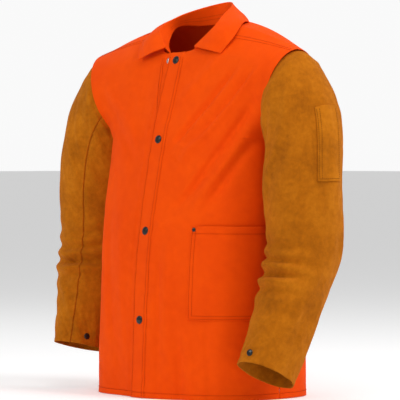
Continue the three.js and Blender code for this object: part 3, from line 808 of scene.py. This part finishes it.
# ---- front pocket -------------------------------------------------------------------------------
POCKET_WIDTH, POCKET_HEIGHT = 0.165, 0.188
POCKET_INNER_X, POCKET_LOW_Z, POCKET_TOP_Z = 0.112, 0.160, 0.348
POCKET_LOW, POCKET_TOP = POCKET_LOW_Z / BODY_ROW_Z, POCKET_TOP_Z / BODY_ROW_Z
POCKET_U0 = float(reach_of(front_surface, np.array(POCKET_INNER_X), np.array(POCKET_TOP)))
row = np.linspace(POCKET_U0, 0.99, 400)
row_points = front_surface(row[None, :], np.full((1, len(row)), POCKET_TOP))[0]
row_run = np.concatenate([[0], np.linalg.norm(np.diff(row_points, axis=0), axis=-1).cumsum()])
POCKET_U1 = float(np.interp(POCKET_WIDTH, row_run, row))
POCKET_CLOTH = 0.0011
POCKET_MOUTH_STITCH = 0.015


def pocket_relief(u, v, p):
    along = (u - POCKET_U0) / (POCKET_U1 - POCKET_U0)
    up = (v - POCKET_LOW) / (POCKET_TOP - POCKET_LOW)
    from_edge = np.minimum(np.minimum(along, 1 - along) * POCKET_WIDTH, up * POCKET_HEIGHT)
    belly = 0.0022 * smooth(from_edge / 0.03) + 0.0010 * noise(along * 5, up * 4, 21)
    mouth = 0.0018 * smooth((up - 0.9) / 0.1) * smooth(from_edge / 0.03)
    groove = seam_groove(from_edge - 0.003, 0.0015, 0.0004)
    below_top = POCKET_HEIGHT * (1 - up)
    mouth_groove = seam_groove(below_top - POCKET_MOUTH_STITCH, 0.0018, 0.0005)
    return left_front_relief(u, v, p) + belly + mouth + groove + mouth_groove


pocket_skin = skin_of(front_surface, pocket_relief, POCKET_CLOTH + 0.0002)
pocket_patch = (POCKET_U0, POCKET_U1), (POCKET_LOW, POCKET_TOP)
pocket = cloth("hip_pocket", pocket_skin, *pocket_patch, (80, 90), POCKET_CLOTH, ORANGE)
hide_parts("front_pocket")
ride_torso(pocket)

# ---- sleeves ------------------------------------------------------------------------------------
FRONT_SEAM, BACK_SEAM = -28, 122
# for each cuff: how far forward and how high its middle hangs, how much higher its front is, its stud's angle
CUFFS = {"left": (108, 57, 29, 4), "right": (78, 86, 14, -62)}


def sleeve_surface(side):
    """The sleeve outside, u in turns from its front over the outside, v from cuff to armhole."""
    forward, height, tilt, _ = CUFFS[side]
    level = partial(mix, UNDERARM_Z / MM, height)
    middle = np.array([(HALF_WIDTH / MM + SHOULDER_TIP[0]) / 2, -2, (UNDERARM_Z + ARMHOLE_RISE) / MM])
    centres = catmull([
        middle + armhole_out * 0.5,
        (290, -6, 542),
        (301, -17, level(0.188)),
        (303, -16, level(0.438)),
        (300, mix(-16, -forward, 0.26), level(0.63)),
        (292, mix(-16, -forward, 0.68), level(0.844)),
        (286, -forward, height),
    ])
    rise = ARMHOLE_RISE / MM
    outs = catmull([(33, 0, rise), (70, 0, 52), (80, 0, 8), (76, 0, 0), (69, 0, 0), (59, 0, 0), (51, 0, 0)])
    low_fronts = [(0, -72, 0.5 * tilt), (0, -63, 0.85 * tilt), (0, -57, tilt)]
    fronts = catmull([(0, -72, 0), (0, -80, 0), (0, -81, 0), (0, -80, 0), *low_fronts])

    def surface(u, v):
        turn = 2 * math.pi * u
        run = np.clip(1 - v, 0, 1)
        tuck = smooth((0.018 - run) / 0.018)[..., None]
        around = outs(run) * np.sin(turn)[..., None] + fronts(run) * np.cos(turn)[..., None]
        point = centres(run) + around * (1 - 0.035 * tuck)
        past_ends = (np.maximum(v - 1, 0) + np.minimum(v, 0))[..., None]
        return point - armhole_out * 0.006 * tuck + triple(0, 0, 1) * past_ends * 0.6

    return surface


def sleeve_relief(side):
    seed = 30 if side == "left" else 50

    def relief(u, v, p):
        degrees = (u * 360 + 180) % 360 - 180
        run = 1 - v
        flex = np.exp(-(((run - 0.62) / 0.13) ** 2))
        inside = np.exp(-(((degrees + 15) / 75) ** 2))
        c, s = np.cos(np.radians(degrees)), np.sin(np.radians(degrees))
        d = 0.0034 * noise(c * 1.6 + 5, run * 7 + s * 1.6, seed)
        d += 0.0015 * noise(c * 4 + 9, run * 18 + s * 4, seed + 1)
        d += 0.0006 * noise(c * 10, run * 45 + s * 9, seed + 2)
        wave = np.sin(2 * math.pi * (run * 15 + 0.12 * c + 0.3 * noise(s * 2, run * 4, seed + 3)))
        d += 0.0055 * flex * inside * wave
        d -= 0.0100 * np.exp(-(((run - 0.645) / 0.012) ** 2)) * np.exp(-(((degrees + 10) / 38) ** 2))
        d += 0.0060 * np.exp(-(((run - 0.675) / 0.016) ** 2)) * np.exp(-(((degrees + 10) / 40) ** 2))
        d += 0.0030 * smooth(run / 0.03) * smooth((0.16 - run) / 0.12)
        d += 0.0012 * np.sin(math.radians(1) * degrees * 9) * smooth((0.10 - run) / 0.08) * smooth(run / 0.02)
        seam = np.minimum(np.abs(degrees - BACK_SEAM), np.abs(degrees - FRONT_SEAM)) * 0.0012
        over = ((degrees > FRONT_SEAM) & (degrees < BACK_SEAM)).astype(float)
        welt = 0.0012 * np.exp(-((seam / 0.005) ** 2)) * (2 * over - 1)
        d += welt + 0.0008 * noise(run * 60, seam * 0, seed + 4) * np.exp(-((seam / 0.012) ** 2))
        d += 0.0006 * smooth((run - 0.975) / 0.01)
        return d * smooth(run / 0.03)

    return relief


def mirrored_relief(relief):
    return lambda u, v, p: relief(-u, v, p)


sleeve_skins = {}
sleeve_panels = {"left": [], "right": []}
for side in ("left", "right"):
    flip = 1 if side == "left" else -1
    surface = sleeve_surface(side)
    relief = sleeve_relief(side)
    if side == "right":
        relief = mirrored_relief(relief)
        surface = mirrored(surface)
    skin = skin_of(surface, relief)
    sleeve_skins[side] = skin
    spans = {"topsleeve": (FRONT_SEAM, BACK_SEAM), "undersleeve": (BACK_SEAM, FRONT_SEAM + 360)}
    for part, (a, b) in spans.items():
        ends = sorted((flip * a / 360, flip * b / 360))
        piece = cloth(f"{side}_{part}_suede", skin, tuple(ends), (0, 1), (110, 220), SUEDE, TAN)
        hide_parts(f"{side}_{part}")
        bend_sleeve(piece, side)
        sleeve_panels[side].append(piece)

PEN_LIFT, PEN_SUEDE = 0.0022, 0.0020
pen_skin = skin_of(sleeve_surface("left"), sleeve_relief("left"), PEN_LIFT)
PEN_U, PEN_V = (64 / 360, 104 / 360), (1 - 0.34, 1 - 0.172)
pen_pocket = cloth("pen_pocket_suede", pen_skin, PEN_U, PEN_V, (40, 80), PEN_SUEDE, TAN_PATCH)
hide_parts("pen_pocket")
bend_sleeve(pen_pocket, "left")

# ---- stitching ----------------------------------------------------------------------------------
EDGE_INSET = 0.003  # the row of stitches that runs along a folded edge
TWIN_INSETS = (0.0015, 0.0075)  # the two rows that hold a facing, from its inner edge
FRONT_ROWS = (0.004, FRONT_NECK_V - 0.006)
PEN_INSET = 0.006
LEAF_STITCH = 0.93


def up_line(surface, x, low, high, sign=1, count=80):
    v = np.linspace(low, high, count)
    return sign * reach_of(surface, np.full(count, x), v), v


def hem_line(u0, u1, count=200):
    return np.linspace(u0, u1, count), np.full(count, HEM_STITCH / BODY_ROW_Z)


def left_front_rows():
    rows = []
    for x in (*(PLACKET - LAP - inset for inset in TWIN_INSETS), -LAP + EDGE_INSET):
        rows.append(stitch_row(left_skin, *up_line(front_surface, x, *FRONT_ROWS)))
    rows.append(stitch_row(left_skin, *hem_line(0.01, 0.99)))
    return rows


def right_front_rows():
    rows = []
    for inset in (EDGE_INSET, *(PLACKET - inset for inset in TWIN_INSETS)):
        v = np.linspace(*FRONT_ROWS, 80)
        edge = right_surface(v * 0, v)[..., 0]
        rows.append(stitch_row(right_skin, -reach_of(right_surface, edge + inset, v), v))
    rows.append(stitch_row(right_skin, *hem_line(-0.99, -0.01)))
    return rows


def pocket_rows():
    inset_u, inset_v = EDGE_INSET / 0.3, EDGE_INSET / BODY_ROW_Z
    u0, u1 = POCKET_U0 + inset_u, POCKET_U1 - inset_u
    low, high = POCKET_LOW + inset_v, POCKET_TOP - 0.001
    rows = []
    for step in (0, 2):
        a, b, c = u0 + step * inset_u, u1 - step * inset_u, low + step * inset_v
        path_u = np.concatenate([np.full(60, a), np.linspace(a, b, 60), np.full(60, b)])
        path_v = np.concatenate([np.linspace(high, c, 60), np.full(60, c), np.linspace(c, high, 60)])
        rows.append(stitch_row(pocket_skin, path_u, path_v))
    mouth = POCKET_TOP - POCKET_MOUTH_STITCH / BODY_ROW_Z
    rows.append(stitch_row(pocket_skin, np.linspace(u0, u1, 60), np.full(60, mouth)))
    return rows


def collar_rows():
    edge = 0.975
    around = np.linspace(-edge, edge, 200)
    ends = np.linspace(STAND_SHARE + ROLL_SHARE + 0.02, LEAF_STITCH, 40)
    u = np.concatenate([np.full(40, -edge), around, np.full(40, edge)])
    w = np.concatenate([ends, np.full(200, LEAF_STITCH), ends[::-1]])
    return [stitch_row(collar_outside, u, 1 - w)]


def pen_rows():
    low, high = PEN_V[0] + PEN_INSET, PEN_V[1] - PEN_INSET
    a, b = PEN_U[0] + PEN_INSET, PEN_U[1] - PEN_INSET
    u = np.concatenate([np.full(50, a), np.linspace(a, b, 40), np.full(50, b)])
    v = np.concatenate([np.linspace(high, low, 50), np.full(40, low), np.linspace(low, high, 50)])
    divider = np.full(50, a + 2 * PEN_INSET), np.linspace(high, low, 50)
    return [stitch_row(pen_skin, u, v), stitch_row(pen_skin, *divider)]


def back_rows():
    return [stitch_row(back_skin, *hem_line(-0.99, 0.99, 400))]


def shoulder_rows():
    line = np.linspace(0.06, 0.99, 120)
    rows = []
    for surface_skin, sign in ((left_skin, 1), (right_skin, -1)):
        for v in (0.975, 0.967):
            rows.append(stitch_row(surface_skin, sign * line, v + line * 0))
    return rows


def neck_rows():
    line = np.linspace(-0.62, 0.62, 160)
    return [stitch_row(stand_inside, line, share + line * 0) for share in (0.10, 0.16)]


threads = {
    "left_front_stitches": (left_front_rows, THREAD_ORANGE, bend_left_front),
    "right_front_stitches": (right_front_rows, THREAD_ORANGE, ride_torso),
    "pocket_stitches": (pocket_rows, THREAD_ORANGE, ride_torso),
    "collar_stitches": (collar_rows, THREAD_ORANGE, ride_torso),
    "back_stitches": (back_rows, THREAD_ORANGE, ride_torso),
    "shoulder_stitches": (shoulder_rows, THREAD_ORANGE, ride_torso),
    "neck_stitches": (neck_rows, THREAD_ORANGE, ride_torso),
    "pen_pocket_stitches": (pen_rows, THREAD_TAN, partial(bend_sleeve, side="left")),
}
for name, (rows, material, place) in threads.items():
    place(stitching(name, rows(), material))

# ---- press studs and rivets ---------------------------------------------------------------------
# outlines of turned pieces, as (radius, height) in millimetres
CAP = [
    (8.2, 0), (8.5, 0.3), (8.3, 0.9), (7.4, 1.7), (5.8, 2.3), (5.2, 2.15), (4.6, 2.3), (2.6, 2.75), (0.4, 2.9),
]
SOCKET = [(3.4, 0), (6.3, 0), (6.5, 0.3), (6.4, 1.1), (5.6, 1.7), (4.2, 1.9), (3.5, 1.6), (3.3, 0.8)]
POST = [
    (6.2, 0), (6.5, 0.25), (6.3, 0.8), (5.2, 1.1), (3.6, 0.9),
    (2.4, 1.2), (2.1, 2.2), (2.3, 2.9), (1.6, 3.4), (0.4, 3.6),
]
BACK_PLATE = [(5.6, 0), (6.0, 0.3), (5.6, 0.8), (4.2, 1.1), (2.4, 1.1), (2.2, 0.8), (0.4, 0.8)]
RIVET = [(4.0, 0), (4.2, 0.3), (4.0, 0.9), (3.0, 1.5), (1.8, 1.8), (0.4, 1.85)]


def on_skin(skin, surface, u, v):
    """A spot on the skin and the surface's direction out of it."""
    u, v = np.array([[u]]), np.array([[v]])
    return skin(u, v)[0, 0], normal_of(surface, u, v)[0, 0]


def fasten(name, node, outline, finish, spot, offset, facing, place):
    """A turned piece on a spot, moved out by offset, with its top facing out (1) or in (-1)."""
    (material, slot), (point, axis) = finish, spot
    piece = turned(name, outline, point + axis * offset, axis * facing, material)
    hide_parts(node)
    place(piece)


TOUCH, CLEAR = 0.0001, 0.0002
UNDER_FACING = -FACING_DROP - FACING_CLOTH - CLEAR


def press_stud(stud, z, post_x):
    """A cap and socket on the left front, over a post and its back plate on the right front."""
    v = z / BODY_ROW_Z
    u = float(reach_of(front_surface, np.array(STUD_INSET - LAP), np.array(v)))
    under_u = -float(reach_of(right_surface, np.array(-post_x), np.array(v)))
    over = on_skin(left_skin, front_surface, u, v)
    under = on_skin(right_skin, right_front, under_u, v)
    cap, socket, post, plate = (f"{stud}_{part}" for part in ("cap", "socket", "post", "back"))
    fasten(f"{cap}_dome", cap, CAP, BLACK_FINISH, over, TOUCH, 1, bend_left_front)
    fasten(f"{socket}_ring", socket, SOCKET, BRIGHT_FINISH, over, UNDER_FACING, -1, bend_left_front)
    fasten(f"{post}_pin", post, POST, BRIGHT_FINISH, under, TOUCH, 1, ride_torso)
    fasten(f"{stud}_back_plate", plate, BACK_PLATE, BLACK_FINISH, under, UNDER_FACING, -1, ride_torso)


for i, z in enumerate(STUD_HEIGHTS):
    press_stud(f"stud_{i + 1}", z, OPEN_STUD_X if i == 0 else STUD_INSET - LAP)

RIVET_DROP, RIVET_INSET = 0.007, 0.018
RIVET_V = (POCKET_TOP_Z - RIVET_DROP) / BODY_ROW_Z
for end, u in (("inner", POCKET_U0 + RIVET_INSET), ("outer", POCKET_U1 - RIVET_INSET)):
    spot = on_skin(pocket_skin, front_surface, u, RIVET_V)
    fasten(f"rivet_{end}", f"pocket_rivet_{end}", RIVET, BLACK_FINISH, spot, TOUCH, 1, ride_torso)

CUFF_STUD_SCALE, CUFF_STUD_V = 0.8, 1 - 0.955


def small(outline):
    return [(r * CUFF_STUD_SCALE, h * CUFF_STUD_SCALE) for r, h in outline]


for side, turn in (("left", 1), ("right", -1)):
    skin = sleeve_skins[side]
    spot = on_skin(skin, skin, turn * CUFFS[side][3] / 360, CUFF_STUD_V)
    bend, cap, socket = partial(bend_sleeve, side=side), f"{side}_cuff_cap", f"{side}_cuff_socket"
    fasten(f"{side}_cuff_dome", cap, small(CAP), BLACK_FINISH, spot, TOUCH, 1, bend)
    fasten(f"{side}_cuff_ring", socket, small(SOCKET), BRIGHT_FINISH, spot, -SUEDE - CLEAR, -1, bend)
